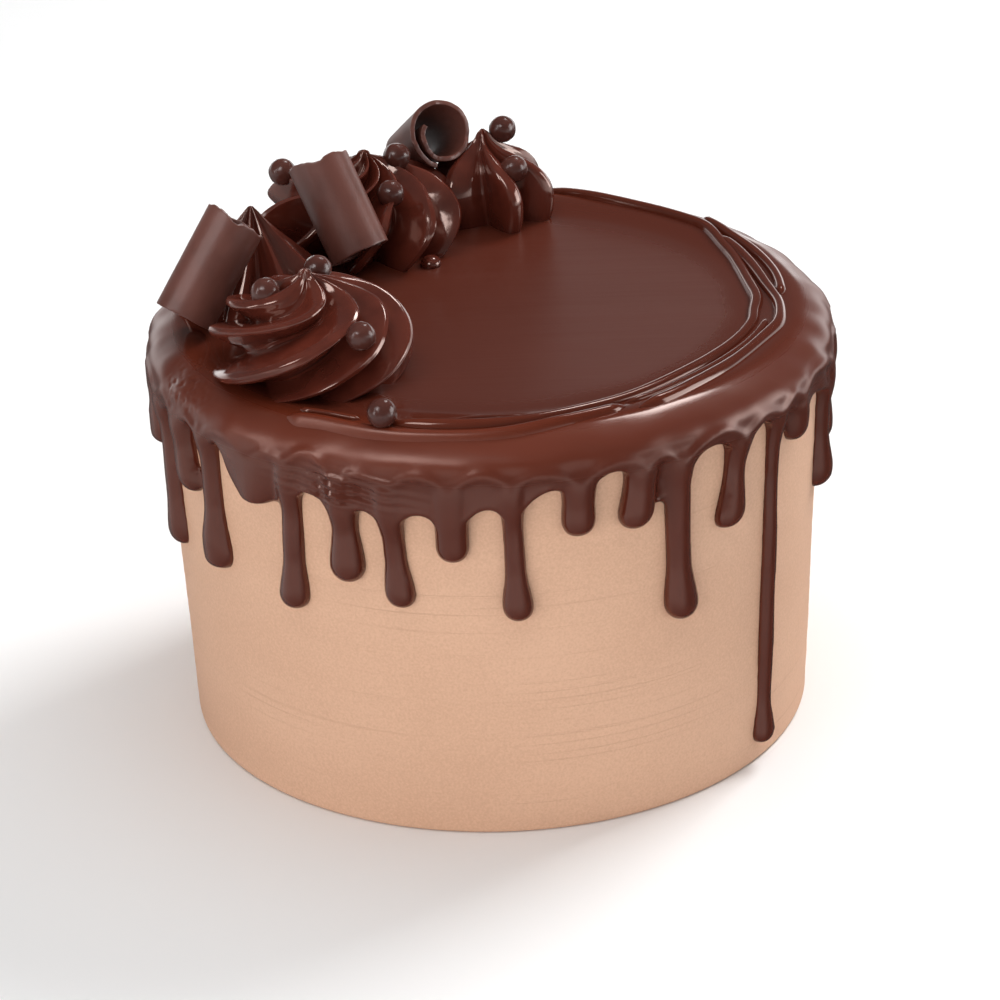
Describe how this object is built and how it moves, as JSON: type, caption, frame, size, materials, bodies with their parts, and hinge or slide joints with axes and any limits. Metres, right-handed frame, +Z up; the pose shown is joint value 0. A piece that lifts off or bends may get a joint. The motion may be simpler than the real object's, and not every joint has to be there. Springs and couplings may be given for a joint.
{
  "type": "chocolate drip cake",
  "caption": "Round layer cake with smooth mocha buttercream sides, a poured chocolate coat with drips, and piped rosettes dressed with chocolate curls and pearls.",
  "frame": {"origin": "centre of the cake's flat underside", "axes": "+Z up through the middle of the cake, -Y to the front that the picture shows"},
  "size_m": [0.1834, 0.1834, 0.1455],
  "materials": {
    "buttercream": "satin",
    "ganache": "gloss",
    "piped_ganache": "gloss",
    "chocolate_curl": "satin",
    "chocolate_pearl": "satin"
  },
  "bodies": {
    "root": {"cake_body": "buttercream", "ganache": "ganache", "rosette_front": "piped_ganache", "rosette_middle": "piped_ganache", "rosette_left": "piped_ganache", "rosette_back": "piped_ganache", "curl_left": "chocolate_curl", "curl_middle": "chocolate_curl", "curl_back": "chocolate_curl", "pearl_1": "chocolate_pearl", "pearl_2": "chocolate_pearl", "pearl_3": "chocolate_pearl", "pearl_4": "chocolate_pearl", "pearl_5": "chocolate_pearl", "pearl_6": "chocolate_pearl", "pearl_7": "chocolate_pearl", "pearl_8": "chocolate_pearl", "pearl_9": "chocolate_pearl"}
  },
  "joints": []
}
